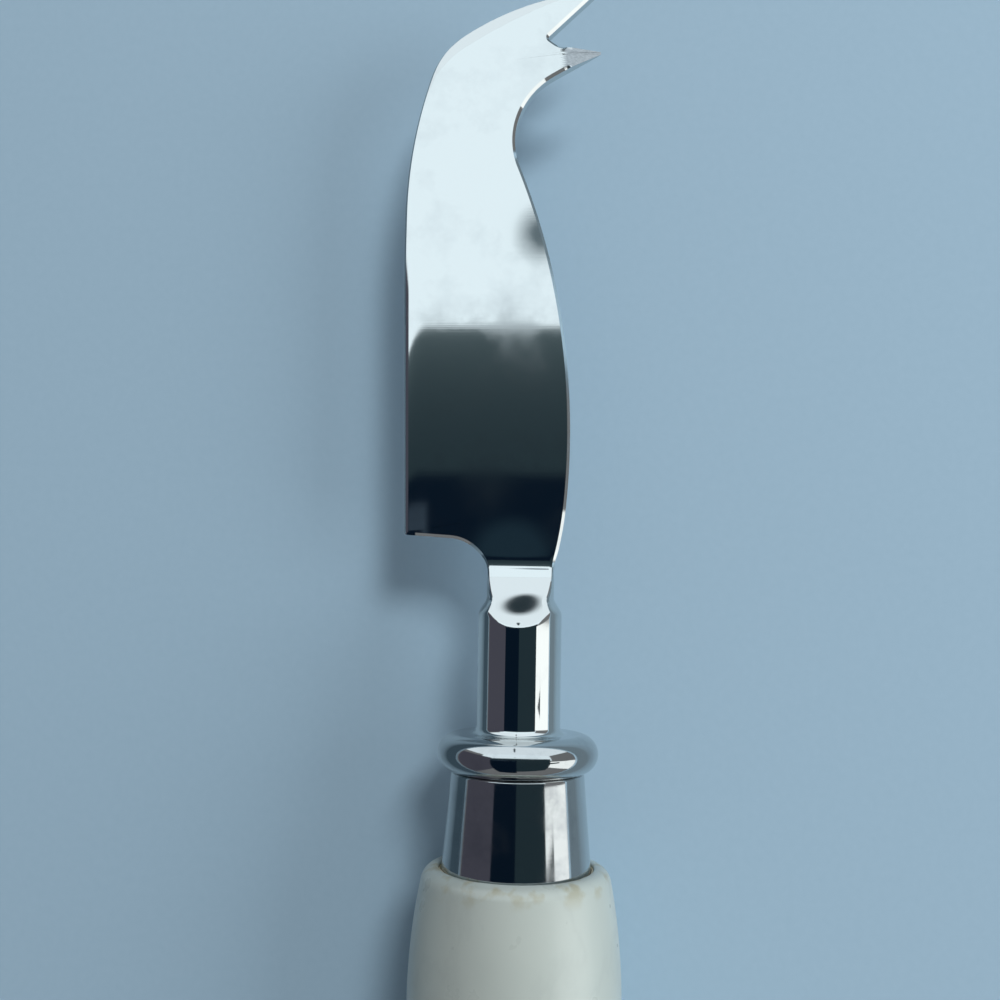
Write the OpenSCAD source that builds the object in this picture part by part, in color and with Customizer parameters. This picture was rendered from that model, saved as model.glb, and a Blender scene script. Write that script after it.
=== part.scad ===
// Cheese knife with a fork tip: a forged steel blade on a round shank, a turned
// bead ring, a tapered ferrule and a white handle, held together by the tang,
// which is set in cement in the bore of the handle.
// All lengths are in millimetres. The knife lies level with its blade flat,
// its tip towards +Y and its cutting edge towards -X.

/* [Blade] */
// Thickness of the blade
blade_t = 2; // [1.6:0.1:2.6]
// Width of the neck between the blade and the shank
neck_w = 8.2; // [7:0.1:9]
// Straight side of the neck below the heel
heel_neck_l = 2.1; // [1:0.1:4]
// Radius of the inner corner between the neck and the heel
heel_fillet_r = 5.2; // [4:0.1:6.5]
// Straight bottom of the heel
heel_l = 5.55; // [4:0.1:8]
// Rounding of the heel corner
heel_corner_r = 0.5; // [0.3:0.05:1]
// Straight stretch of the cutting edge
edge_l = 31.9; // [28:0.1:36]
// Radius of the edge between that stretch and the belly
edge_r = 300; // [250:5:400]
// Radius of the rising part of the cutting edge
belly_r = 63; // [50:1:80]
// Radius of the nose, where the edge turns over to the top
nose_r = 10.5; // [8:0.1:14]
// Radius of the top, up to the upper prong
top_r = 35; // [28:0.5:40]

/* [Spine and prongs] */
// Straight side of the neck below the spine
spine_neck_l = 2.9; // [1:0.1:4]
// Radius of the flare from the neck to the spine
flare_r = 3.9; // [3:0.1:6]
// Radius of the spine behind its widest place
spine_back_r = 46; // [35:1:60]
// Radius of the spine ahead of its widest place
spine_r = 95; // [80:1:110]
// Radius of the hollow below the prongs
hollow_r = 9.8; // [8:0.1:12]
// Straight underside of the lower prong
prong_under_l = 7.2; // [5:0.1:9]
// Straight upper side of the lower prong
prong_over_l = 4.6; // [3:0.1:6]
// Blunt end of each prong
prong_end_w = 0.35; // [0.2:0.05:0.6]
// Radius of the sweep from the lower prong into the notch
notch_sweep_r = 2.5; // [2:0.1:3.5]
// Straight stretch between that sweep and the root of the notch
notch_side_l = 0.8; // [0.5:0.1:1.5]
// Radius of the root of the notch
notch_root_r = 0.45; // [0.35:0.05:0.7]
// Length of the ground facet on the lower prong
facet_l = 4.9; // [3:0.1:6]
// Thickness left at the tip of the lower prong
facet_tip_t = 0.45; // [0.3:0.05:1]

/* [Grind] */
// Width of the rounded grind along the cutting edge
grind_w = 3.6; // [2:0.1:4.5]
// Thickness of the blade at the outer side of that grind
grind_t = 1.1; // [0.8:0.05:1.4]
// Distance by which the grind has run out over the edge at the upper prong
grind_run_out = 2.3; // [1:0.1:3]
// Width of the sharpened edge
hone_w = 0.45; // [0.3:0.05:0.8]
// Thickness of the sharpened edge
hone_t = 0.24; // [0.15:0.01:0.4]
// Chamfer along the spine, the notch and the heel
spine_chamfer = 0.35; // [0.2:0.05:0.5]

/* [Shank] */
// Diameter of the round shank
shank_d = 10.5; // [9.5:0.1:12]
// Length of the shank from the bead ring to its shoulder
shank_l = 14.7; // [12:0.1:20]
// Length of the shoulder between the shank and the neck
shoulder_l = 2.2; // [1.5:0.1:3]
// Diameter of the turned neck that the ramps are forged from
neck_d = 8.5; // [8:0.1:9.4]
// Distance from the shoulder to the foot of the ramps
ramp_l = 6; // [5:0.1:8]
// Radius of the hollow ramps from the blade's faces up to the shank
ramp_r = 12.5; // [11:0.1:16]
// Depth to which the foot of the ramps dips below the blade's faces
ramp_dip = 0.03; // [0.02:0.01:0.08]
// Fillet at the foot of the shank, against the bead ring
foot_fillet = 0.9; // [0.5:0.1:1.5]

/* [Tang] */
// Diameter of the tang
tang_d = 6; // [5:0.1:7]
// Length of the tang inside the handle
tang_l = 42; // [40:1:47]
// Number of keying grooves round the tang
groove_n = 4; // [2:1:4]
// Width of each groove
groove_w = 1.8; // [1:0.1:3]
// Depth of each groove
groove_depth = 0.5; // [0.3:0.1:0.9]
// Distance from one groove to the next
groove_pitch = 8.5; // [5:0.5:9]

/* [Bead ring] */
// Outer diameter of the bead ring
ring_d = 20; // [18:0.1:22]
// Thickness of the bead ring along the knife
ring_w = 4.7; // [4:0.1:5.5]

/* [Ferrule] */
// Length of the ferrule that shows ahead of the handle
ferrule_l = 11.4; // [9:0.1:15]
// Diameter of the ferrule at the bead ring
ferrule_top_d = 16.6; // [15:0.1:18]
// Diameter of the ferrule at its base
ferrule_base_d = 18.6; // [17.5:0.1:19.5]
// Depth to which the base sits inside the mouth of the handle
ferrule_seat = 1.2; // [0.8:0.1:2]
// Rounded edge of the ferrule at the bead ring
ferrule_edge = 0.3; // [0.2:0.05:0.6]
// Diameter of the spigot that centres the ferrule in the handle
spigot_d = 13; // [11:0.1:14]
// Length of that spigot
spigot_l = 5.5; // [3:0.1:8]

/* [Handle] */
// Radius of the rounded shoulder at the mouth
shoulder_r = 1.9; // [1.5:0.1:3]
// Radius of the swelling behind the shoulder
swell_r = 75; // [60:1:90]
// Length of the barrel, which widens a little towards the butt
barrel_l = 30; // [28:0.5:70]
// Radius of the turn into the butt
butt_turn_r = 11; // [8:0.1:12]
// Radius of the domed butt
butt_dome_r = 26; // [22:0.5:34]
// Rounding of the lip towards the ferrule
lip_round = 0.3; // [0.2:0.05:0.5]
// Diameter of the bore for the tang
bore_d = 9; // [8.2:0.1:10]
// Depth of that bore below the ferrule's spigot
bore_l = 42; // [40:1:45]

/* [Fits] */
// Radial clearance of the ring and the ferrule on the tang
tang_gap = 0.05; // [0.02:0.01:0.1]
// Thickness of the cement film round the ferrule
cement_film = 0.25; // [0.2:0.05:0.4]
// Clearance between the cement and what it fills
cement_gap = 0.03; // [0.02:0.01:0.05]
// Depth of the cement bead below the lip
bead_drop = 0.35; // [0.2:0.05:0.6]

/* [Hidden] */
$fn = 96;
// Longest chord of the large arcs, and shortest facet of the small ones
chord = 1;
short_chord = 0.12;

// Turns of the outline in degrees: left turns are positive, right turns negative
heel_lean = 3.5;
edge_lean = 1.45;
edge_turn = 1.85;
belly_turn = 17.4;
nose_turn = 38;
top_turn = 31;
flare_turn = 15.2;
spine_back_turn = 10.25;
spine_turn = 27;
hollow_turn = 82;
prong_end_lean = 5;
prong_over_lean = 1;
notch_sweep_turn = 35;
handle_shoulder_turn = 79;
swell_turn = 10.65;

// Overrun of every cut
over = 0.15;

// Shares of a size, for details that follow it
grind_mid_share = 0.45;
grind_drop_share = 0.22;
hone_run_share = 2;
hone_in_share = 2.5;
hone_out_share = 0.14;
tang_tip_share = 0.2;
first_groove_share = 0.7;
drill_point_share = 0.3;

// Grinding steps: spine and heel, notch, grind, hone and prong
grinding_steps = 5;

// Steps of the curve from the shank to the neck
shoulder_steps = 10;

// Places along the knife, from the mouth of the handle
ring_back = ferrule_l;
ring_front = ring_back + ring_w;
shoulder_s = ring_front + shank_l;
neck_s = shoulder_s + shoulder_l;
ramp_s = neck_s + ramp_l;
seat_s = -ferrule_seat;
spigot_s = seat_s - spigot_l;
seat_floor = seat_s - cement_film;
spigot_floor = spigot_s - cement_film;
bore_s = spigot_floor - bore_l;
drill_s = bore_s - bore_d * drill_point_share;
tang_s = seat_s - tang_l;

// Radius of the recesses in the mouth, round the ferrule's base and its spigot
recess_r = ferrule_base_d / 2 + cement_film;
socket_r = spigot_d / 2 + cement_film;

function fineness(r) = max($fn, 8 * ceil(PI * r / chord / 4));

// A run is [radius, turn, length]. A radius of zero is a straight run.
// A state is [point, heading], with the heading in degrees from +X.
function ahead(h) = [cos(h), sin(h)];
function left_of(h) = [-sin(h), cos(h)];
function centre(state, run) = state[0] + sign(run[1]) * run[0] * left_of(state[1]);
function after(state, run) =
    run[0] == 0 ? [state[0] + run[2] * ahead(state[1]), state[1] + run[1]]
    : [centre(state, run) - sign(run[1]) * run[0] * left_of(state[1] + run[1]), state[1] + run[1]];
function states(state, runs, i = 0) =
    i == len(runs) ? [state] : concat([state], states(after(state, runs[i]), runs, i + 1));
function points(list) = [for (s = list) s[0]];
function turned(list) = [for (i = [len(list) - 1:-1:0]) list[i]];

// Places along a path, close enough for straight facets to follow its arcs
function facet_turn(r) = max(360 / fineness(r), 180 / PI * short_chord / r);
function facets(run) = run[0] == 0 ? 1 : ceil(abs(run[1]) / facet_turn(run[0]));
function share_of(run, t) = [run[0], run[1] * t, run[2] * t];
function walk(state, runs, i = 0) =
    i == len(runs) ? [state]
    : concat(
        [for (k = [0:facets(runs[i]) - 1]) after(state, share_of(runs[i], k / facets(runs[i])))],
        walk(after(state, runs[i]), runs, i + 1)
    );
// The same path with a short overrun at both ends
function overrun(path) = concat(
    [after(path[0], [0, 0, -over])],
    path,
    [after(path[len(path) - 1], [0, 0, over])]
);

// Cutting side, from the neck round the heel and up to the upper prong
cut_runs = [
    [0, 0, heel_neck_l],
    [heel_fillet_r, 90 - heel_lean, 0],
    [0, 0, heel_l],
    [heel_corner_r, edge_lean + heel_lean - 90, 0],
    [0, 0, edge_l],
    [edge_r, -edge_turn, 0],
    [belly_r, -belly_turn, 0],
    [nose_r, -nose_turn, 0],
    [top_r, -top_turn, 0],
];
cut_states = states([[-neck_w / 2, neck_s], 90], cut_runs);
upper_tip = cut_states[len(cut_runs)][0];
// Places in that list of the straight edge and of the top
edge_i = 4;
top_i = 8;

// Spine, from the neck up to the lower prong
spine_runs = [
    [0, 0, spine_neck_l],
    [flare_r, -flare_turn, 0],
    [spine_back_r, spine_back_turn, 0],
    [spine_r, spine_turn, 0],
    [hollow_r, -hollow_turn, 0],
    [0, 0, prong_under_l],
];
spine_states = states([[neck_w / 2, neck_s], 90], spine_runs);
lower_tip = spine_states[len(spine_runs)][0];

// Notch, from the lower prong to its root, which a straight side joins to the upper prong
notch_start = lower_tip + prong_end_w * ahead(90 + prong_end_lean);
notch_end = upper_tip - prong_end_w * ahead(90 - prong_end_lean);
notch_side = after(
    after([notch_start, 180 - prong_over_lean], [0, 0, prong_over_l]),
    [notch_sweep_r, -notch_sweep_turn, 0]
);
root_state = after(notch_side, [0, 0, notch_side_l]);
root_centre = root_state[0] - notch_root_r * left_of(root_state[1]);
root_reach = notch_end - root_centre;
root_heading = atan2(root_reach[1], root_reach[0]) - asin(notch_root_r / norm(root_reach));
root_left = after(root_state, [notch_root_r, root_heading - root_state[1], 0]);
notch_runs = [
    [0, 0, prong_over_l],
    [notch_sweep_r, -notch_sweep_turn, 0],
    [0, 0, notch_side_l],
    [notch_root_r, root_heading - root_state[1], 0],
    [0, 0, norm(notch_end - root_left[0])],
];
notch_states = states([notch_start, 180 - prong_over_lean], notch_runs);

// Outer profile of the handle, from the lip over the shoulder and the barrel to the butt
handle_runs = [
    [lip_round, -90, 0],
    [shoulder_r, -handle_shoulder_turn, 0],
    [swell_r, -swell_turn, 0],
    [0, 0, barrel_l],
];
mouth_state = [[recess_r, -lip_round], 90];
butt_state = states(mouth_state, handle_runs)[len(handle_runs)];
butt_turn_c = butt_state[0] - butt_turn_r * left_of(butt_state[1]);
butt_dome_s = butt_turn_c[1] + sqrt(pow(butt_dome_r - butt_turn_r, 2) - pow(butt_turn_c[0], 2));
butt_normal = atan2(butt_turn_c[1] - butt_dome_s, butt_turn_c[0]);
butt_runs = [
    [butt_turn_r, butt_normal - 90 - butt_state[1], 0],
    [butt_dome_r, -90 - butt_normal, 0],
];
butt_s = butt_dome_s - butt_dome_r;
handle_path = walk(mouth_state, concat(handle_runs, butt_runs));

// Widest radius of the handle, where the turn into the butt runs along the axis
handle_r = butt_turn_c[0] + butt_turn_r;

// The cutting edge reaches furthest where its large arc runs along the axis
edge_reach = edge_r - centre(cut_states[edge_i + 1], cut_runs[edge_i + 1])[0];

// Paths of the cuts. The grind and the hone start a little below the heel corner.
heel_path = overrun(walk(cut_states[0], [for (i = [0:edge_i - 2]) cut_runs[i]]));
spine_path = overrun(walk(spine_states[0], spine_runs));
notch_path = overrun(walk(notch_states[0], notch_runs));
edge_start = after(cut_states[edge_i], [0, 0, -hone_run_share * heel_corner_r]);
edge_path = concat([edge_start], overrun(walk(cut_states[edge_i], [for (i = [edge_i:top_i]) cut_runs[i]])));

// Distance by which the grind has run out where the edge has a heading of h
function run_out(h) = grind_run_out * pow(max(0, (cut_states[top_i][1] - h) / top_turn), 2);

// Highest place of the top, at the upper prong
tip_s = upper_tip[1];

// The frame's origin is under the middle of the knife
mid_x = (handle_r - edge_reach) / 2;
mid_y = (tip_s + butt_s) / 2;

// The part of a circle between one arc of a path and a line inside its chord
module bow(state, run) {
    c = centre(state, run);
    p = state[0];
    q = after(state, run)[0];
    away = (p + q) / 2 - c;
    out = away / norm(away);
    rise = run[0] - norm(away) + over;
    intersection() {
        translate(c) circle(r = run[0], $fn = fineness(run[0]));
        polygon([p - over * out, q - over * out, q + rise * out, p + rise * out]);
    }
}

// Bows of the arcs that turn to one side: sense is 1 for left turns, -1 for right ones
module bows(list, runs, sense) {
    for (i = [0:len(runs) - 1]) {
        if (runs[i][0] > 0 && sign(runs[i][1]) == sense) bow(list[i], runs[i]);
    }
}

// The blade's outline: straight runs and arcs that meet smoothly
module blade_outline() {
    difference() {
        union() {
            polygon(concat(points(spine_states), points(notch_states), turned(points(cut_states))));
            bows(spine_states, spine_runs, 1);
            bows(cut_states, cut_runs, -1);
        }
        bows(spine_states, spine_runs, -1);
        bows(notch_states, notch_runs, -1);
        bows(cut_states, cut_runs, 1);
    }
}

// A cutter that carries a section along a path. The section's X points out of the blade,
// which is to the left of the path for side 1 and to its right for side -1. Each place may
// shift the section outwards.
module swept_cut(path, section, side, shifts = []) {
    n = len(section);
    last = len(path) - 1;
    rows = [for (i = [0:last])
        let (from = path[i][0], out = side * left_of(path[i][1]), shift = len(shifts) == 0 ? 0 : shifts[i])
            for (q = section) let (p = from + (q[0] + shift) * out) [p[0], p[1], q[1]]];
    ends = [[for (k = [0:n - 1]) k], [for (k = [n - 1:-1:0]) last * n + k]];
    sides = [for (i = [0:last - 1]) for (k = [0:n - 1])
        let (a = i * n + k, b = i * n + (k + 1) % n) [a, a + n, b + n, b]];
    faces = concat(ends, sides);
    polyhedron(rows, side == 1 ? faces : [for (f = faces) turned(f)]);
}

// Both faces of the blade get the same cut
module both_faces() {
    children();
    mirror([0, 0, 1]) children();
}

chamfer_section = [
    [-spine_chamfer, blade_t / 2],
    [over, blade_t / 2 - spine_chamfer - over],
    [over, blade_t / 2 + over],
    [-spine_chamfer, blade_t / 2 + over],
];

// Two flats that follow the rounded grind of the face down to the thin side of the blade
grind_drop = (blade_t - grind_t) / 2;
grind_mid = grind_w * grind_mid_share;
grind_slope = grind_drop * (1 - grind_drop_share) / grind_mid;
grind_section = [
    [-grind_w, blade_t / 2],
    [-grind_mid, blade_t / 2 - grind_drop * grind_drop_share],
    [over, grind_t / 2 - grind_slope * over],
    [over, blade_t / 2 + over],
    [-grind_w, blade_t / 2 + over],
];

// The flat of the hone, drawn longer on both sides than the sharpened edge is wide
function on_hone(x) = [x, hone_t / 2 - (grind_t - hone_t) / 2 / hone_w * x];
hone_in = -hone_w * hone_in_share;
hone_out = hone_w * hone_out_share;
hone_section = [on_hone(hone_in), on_hone(hone_out), [hone_out, blade_t], [hone_in, blade_t]];

// The ground facet thins the lower prong to its tip
module prong_facet() {
    foot = lower_tip - [facet_l, 0];
    slope = (blade_t - facet_tip_t) / facet_l;
    translate([foot[0], root_centre[1] - notch_root_r, 0])
        rotate([90, 0, 0])
            linear_extrude(height = prong_under_l)
                polygon([
                    [0, blade_t / 2],
                    [facet_l + blade_t, blade_t / 2 - slope * (facet_l + blade_t)],
                    [facet_l + blade_t, blade_t],
                    [0, blade_t],
                ]);
}

// The flat of the blade after a number of grinding steps, each of them a cut of its own
module blade_plate(step) {
    if (step == 0) {
        translate([0, 0, -blade_t / 2]) linear_extrude(height = blade_t) blade_outline();
    } else {
        difference() {
            blade_plate(step - 1);
            if (step == 1) both_faces() {
                swept_cut(heel_path, chamfer_section, 1);
                swept_cut(spine_path, chamfer_section, -1);
            }
            if (step == 2) both_faces() swept_cut(notch_path, chamfer_section, -1);
            if (step == 3) both_faces() swept_cut(edge_path, grind_section, 1, [for (s = edge_path) run_out(s[1])]);
            if (step == 4) both_faces() swept_cut(edge_path, hone_section, 1);
            if (step == 5) prong_facet();
        }
    }
}

// A revolved section: its X is the distance from the knife's axis, its Y the place along it
module turned_about_axis() {
    rotate([-90, 0, 0]) rotate_extrude() children();
}

function shoulder_ease(t) = 3 * t * t - 2 * t * t * t;

// Shank with its foot fillet, its shoulder and the round neck that is forged flat
module shank_blank() {
    foot_r = shank_d / 2 + foot_fillet;
    shoulder = [for (i = [0:shoulder_steps])
        let (t = i / shoulder_steps)
            [shank_d / 2 + (neck_d - shank_d) / 2 * shoulder_ease(t), shoulder_s + shoulder_l * t]];
    turned_about_axis() difference() {
        polygon(concat(
            [[0, ring_front], [foot_r, ring_front], [foot_r, ring_front + foot_fillet],
                [shank_d / 2, ring_front + foot_fillet]],
            shoulder,
            [[neck_d / 2, ramp_s], [0, ramp_s]]
        ));
        translate([foot_r, ring_front + foot_fillet]) circle(r = foot_fillet);
    }
}

// The hollow that a ramp is forged to, above the blade's upper face
module ramp() {
    translate([0, ramp_s, blade_t / 2 - ramp_dip + ramp_r])
        rotate([0, 90, 0]) cylinder(r = ramp_r, h = shank_d + ramp_r, center = true);
}

module forged_shank() {
    difference() {
        shank_blank();
        both_faces() ramp();
    }
}

// The tang, with grow added all round it
module tang(grow = 0) {
    r = tang_d / 2 + grow;
    tip = tang_d * tang_tip_share;
    first = spigot_s - groove_pitch * first_groove_share;
    turned_about_axis() difference() {
        polygon([
            [0, ring_front],
            [r, ring_front],
            [r, tang_s + tip],
            [r - tip, tang_s - grow],
            [0, tang_s - grow],
        ]);
        for (i = [0:groove_n - 1])
            translate([r - groove_depth, first - groove_pitch * i - groove_w + grow])
                square([groove_depth + over, groove_w - 2 * grow]);
    }
}

module blade() {
    color("silver") {
        blade_plate(grinding_steps);
        forged_shank();
        tang();
    }
}

module bead_ring() {
    bore_r = tang_d / 2 + tang_gap;
    bead_r = ring_w / 2;
    color("gainsboro") turned_about_axis() {
        translate([bore_r, ring_back]) square([ring_d / 2 - bead_r - bore_r, ring_w]);
        translate([ring_d / 2 - bead_r, ring_back + bead_r]) circle(r = bead_r);
    }
}

// Outside of the ferrule from its base down to the end of its spigot, with grow added all round
module ferrule_foot(grow = 0) {
    turned_about_axis() polygon([
        [0, over],
        [ferrule_base_d / 2 + grow, over],
        [ferrule_base_d / 2 + grow, seat_s - grow],
        [spigot_d / 2 + grow, seat_s - grow],
        [spigot_d / 2 + grow, spigot_s - grow],
        [0, spigot_s - grow],
    ]);
}

module ferrule() {
    bore_r = tang_d / 2 + tang_gap;
    top_r = ferrule_top_d / 2;
    color("lightgray") turned_about_axis() polygon([
        [bore_r, ring_back],
        [top_r - ferrule_edge, ring_back],
        [top_r, ring_back - ferrule_edge],
        [ferrule_base_d / 2, seat_s],
        [spigot_d / 2, seat_s],
        [spigot_d / 2, spigot_s],
        [bore_r, spigot_s],
    ]);
}

// Mouth, socket and drilled bore, from the axis out to the lip
handle_inside = [
    [0, drill_s],
    [bore_d / 2, bore_s],
    [bore_d / 2, spigot_floor],
    [socket_r, spigot_floor],
    [socket_r, seat_floor],
    [recess_r, seat_floor],
];

module handle() {
    outside = [for (i = [0:len(handle_path) - 2]) handle_path[i][0]];
    color("ivory") turned_about_axis() polygon(concat(handle_inside, outside, [[0, butt_s]]));
}

// Cement fills the bore round the tang and the film round the ferrule, up to a bead in the mouth
module cement() {
    color("wheat") difference() {
        turned_about_axis() polygon([
            [0, drill_s + cement_gap],
            [bore_d / 2 - cement_gap, bore_s + cement_gap],
            [bore_d / 2 - cement_gap, spigot_floor + cement_gap],
            [socket_r - cement_gap, spigot_floor + cement_gap],
            [socket_r - cement_gap, seat_floor + cement_gap],
            [recess_r - cement_gap, seat_floor + cement_gap],
            [recess_r - cement_gap, -bead_drop],
            [0, -bead_drop],
        ]);
        ferrule_foot(cement_gap);
        tang(cement_gap);
    }
}

// Places a piece in the knife's frame, with the origin under the middle of the knife
module placed() {
    translate([-mid_x, -mid_y, handle_r]) children();
}

placed() blade();
placed() bead_ring();
placed() ferrule();
placed() handle();
placed() cement();
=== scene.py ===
"""A cheese knife with a fork tip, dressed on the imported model.

The forged blade, the bead ring, the ferrule, the handle and the cement in its mouth are
surfaces worked out with numpy in the knife's own millimetres: across the knife, along it
from the handle's mouth, and above its axis. KnifeAxes puts them into the row frame.
"""
import logging
from dataclasses import dataclass
from enum import Enum
from functools import lru_cache

import bmesh
import bpy
import numpy as np
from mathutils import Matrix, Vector


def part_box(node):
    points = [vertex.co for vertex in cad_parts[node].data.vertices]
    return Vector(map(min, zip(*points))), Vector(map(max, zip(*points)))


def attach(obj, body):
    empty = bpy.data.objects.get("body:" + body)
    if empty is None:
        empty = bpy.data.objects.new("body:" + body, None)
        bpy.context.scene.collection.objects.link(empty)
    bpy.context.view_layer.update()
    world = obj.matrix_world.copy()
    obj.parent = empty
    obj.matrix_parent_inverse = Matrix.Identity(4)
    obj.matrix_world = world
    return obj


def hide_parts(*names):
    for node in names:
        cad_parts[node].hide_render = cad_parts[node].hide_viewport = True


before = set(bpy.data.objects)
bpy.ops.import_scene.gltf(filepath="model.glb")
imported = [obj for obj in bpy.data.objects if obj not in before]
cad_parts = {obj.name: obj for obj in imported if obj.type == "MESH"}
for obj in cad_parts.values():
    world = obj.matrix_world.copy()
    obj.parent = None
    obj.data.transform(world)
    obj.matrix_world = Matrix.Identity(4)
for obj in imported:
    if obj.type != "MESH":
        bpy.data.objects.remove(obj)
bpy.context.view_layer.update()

MILLIMETRE = 0.001
LOG = logging.getLogger("cheese_knife")
Colour = tuple[float, float, float]
Span = tuple[float, float]
Pair = tuple[np.ndarray, np.ndarray]
Socket = bpy.types.NodeSocket


@dataclass(frozen=True)
class KnifeAxes:
    """The knife's axis and the handle's mouth in the row frame, in metres.

    Args:
        across: X of the knife's axis.
        mouth: Y of the handle's mouth.
        height: Z of the knife's axis.
    """

    across: float
    mouth: float
    height: float

    @classmethod
    def from_frame(cls, spigot_end: float) -> "KnifeAxes":
        """Reads the axis from the handle's box and the mouth from the ferrule's spigot.

        Args:
            spigot_end: Place of the spigot's end along the knife, in millimetres.

        Returns:
            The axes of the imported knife.
        """
        low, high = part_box("handle")
        ferrule_low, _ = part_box("ferrule")
        return cls((low.x + high.x) / 2, ferrule_low.y - spigot_end * MILLIMETRE, (low.z + high.z) / 2)

    def place(self, across: np.ndarray, along: np.ndarray, above: np.ndarray) -> np.ndarray:
        """Moves millimetres of the knife into metres of the row frame.

        Args:
            across: Distances to the right of the axis.
            along: Distances from the mouth of the handle towards the tip.
            above: Heights above the axis.

        Returns:
            One array with X, Y and Z last.
        """
        return np.stack(
            [
                self.across + across * MILLIMETRE,
                self.mouth + along * MILLIMETRE,
                self.height + above * MILLIMETRE,
            ],
            axis=-1,
        )

    def studio(self, place: Colour) -> np.ndarray:
        """Moves a place in metres from the handle's mouth into the row frame."""
        return np.array(place) + (self.across, self.mouth, self.height)


def smooth_step(value: np.ndarray, start: float, end: float) -> np.ndarray:
    """Rises from 0 at start to 1 at end along 3 t squared minus 2 t cubed."""
    t = np.clip((value - start) / (end - start), 0.0, 1.0)
    return t * t * (3.0 - 2.0 * t)


def soft_lower(first: np.ndarray, second: np.ndarray, reach: float) -> np.ndarray:
    """The lower of two heights, rounded where they differ by less than reach."""
    near = np.clip(reach - np.abs(first - second), 0.0, None) / reach
    return np.minimum(first, second) - near * near * reach / 4.0


def ahead(heading: np.ndarray) -> np.ndarray:
    """Unit steps along headings in degrees, counted from the knife's right side."""
    turn = np.radians(heading)
    return np.stack([np.cos(turn), np.sin(turn)], axis=-1)


def left_of(heading: np.ndarray) -> np.ndarray:
    """Unit steps to the left of headings in degrees."""
    return ahead(np.asarray(heading) + 90.0)


@dataclass(frozen=True)
class Run:
    """One run of an outline: a straight, or an arc whose left turn is positive.

    Args:
        radius: Radius of the arc in millimetres, or zero for a straight run.
        turn: Turn of the arc in degrees, or of the corner that ends a straight run.
        length: Length of a straight run in millimetres.
    """

    radius: float
    turn: float
    length: float = 0.0


class Outline:
    """One side of the blade's outline, as a chain of runs."""

    def __init__(self, start: tuple[float, float], heading: float, runs: list[Run]) -> None:
        """Chains the runs from a first point, across and along, and a heading in degrees."""
        self.radius = np.array([run.radius for run in runs])
        self.turn = np.array([run.turn for run in runs])
        self.length = np.array([run.length for run in runs])
        self.heading = heading + np.concatenate([[0.0], np.cumsum(self.turn)])
        side = (np.sign(self.turn) * self.radius)[:, None]
        steps = np.where(
            (self.radius == 0)[:, None],
            self.length[:, None] * ahead(self.heading[:-1]),
            side * (left_of(self.heading[:-1]) - left_of(self.heading[1:])),
        )
        self.corner = np.array(start) + np.concatenate([np.zeros((1, 2)), np.cumsum(steps, axis=0)])

    def at(self, place: np.ndarray) -> Pair:
        """Finds points at places that count runs, so that 2.5 is halfway along the third.

        A straight run gives its start plus a share of its length ahead. An arc gives its
        centre minus its radius times the left side of the heading reached so far.

        Args:
            place: Places along the outline.

        Returns:
            The points, and the headings there in degrees.
        """
        index = np.clip(np.floor(place).astype(int), 0, len(self.turn) - 1)
        share = place - index
        start, heading = self.corner[index], self.heading[index]
        straight = self.radius[index] == 0
        reached = heading + np.where(straight, 0.0, share * self.turn[index])
        side = (np.sign(self.turn[index]) * self.radius[index])[:, None]
        arc = start + side * (left_of(heading) - left_of(reached))
        line = start + (share * self.length[index])[:, None] * ahead(heading)
        return np.where(straight[:, None], line, arc), reached


def placed(name: str, data: bpy.types.ID) -> bpy.types.Object:
    """Makes an object of the data and links it into the scene."""
    thing = bpy.data.objects.new(name, data)
    bpy.context.scene.collection.objects.link(thing)
    return thing


def skin(name: str, grid: np.ndarray, wrap: bool, crease: float, **masks: np.ndarray) -> bpy.types.Object:
    """Stretches faces over a grid of points and welds its seams and poles.

    Args:
        name: Name of the piece.
        grid: Points in metres, rows by columns. The columns close on themselves.
        wrap: Whether the rows close on themselves too.
        crease: Angle in degrees beyond which an edge is drawn sharp.
        masks: Values for the points, each kept as an attribute of that name.

    Returns:
        The new piece, at the origin, with its faces outwards.
    """
    rows, columns = grid.shape[:2]
    index = np.arange(rows * columns).reshape(rows, columns)
    index = np.hstack([index, index[:, :1]])
    index = np.vstack([index, index[:1]]) if wrap else index
    quads = np.stack([index[:-1, :-1], index[1:, :-1], index[1:, 1:], index[:-1, 1:]], axis=-1)
    mesh = bpy.data.meshes.new(name)
    mesh.from_pydata(grid.reshape(-1, 3).tolist(), [], quads.reshape(-1, 4).tolist())
    for mask, values in masks.items():
        mesh.attributes.new(mask, "FLOAT", "POINT").data.foreach_set("value", values.astype(np.float32).ravel())
    work = bmesh.new()
    work.from_mesh(mesh)
    bmesh.ops.remove_doubles(work, verts=work.verts, dist=2e-7)
    bmesh.ops.dissolve_degenerate(work, edges=work.edges, dist=1e-7)
    bmesh.ops.recalc_face_normals(work, faces=work.faces)
    work.to_mesh(mesh)
    work.free()
    mesh.polygons.foreach_set("use_smooth", np.ones(len(mesh.polygons), bool))
    mesh.set_sharp_from_angle(angle=np.radians(crease))
    return placed(name, mesh)


def turned(axes: KnifeAxes, profile: np.ndarray, segments: int) -> np.ndarray:
    """Revolves a profile about the knife's axis: radius times cosine and sine of the turn.

    Args:
        axes: Where the knife lies.
        profile: Pairs of radius and place along the knife, in millimetres.
        segments: Number of steps of the turn.

    Returns:
        A grid of points, one row for each pair.
    """
    turn = np.linspace(0.0, 2.0 * np.pi, segments, endpoint=False)
    radius, along = profile[:, :1], profile[:, 1:]
    return axes.place(radius * np.cos(turn), along + 0.0 * turn, radius * np.sin(turn))


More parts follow.
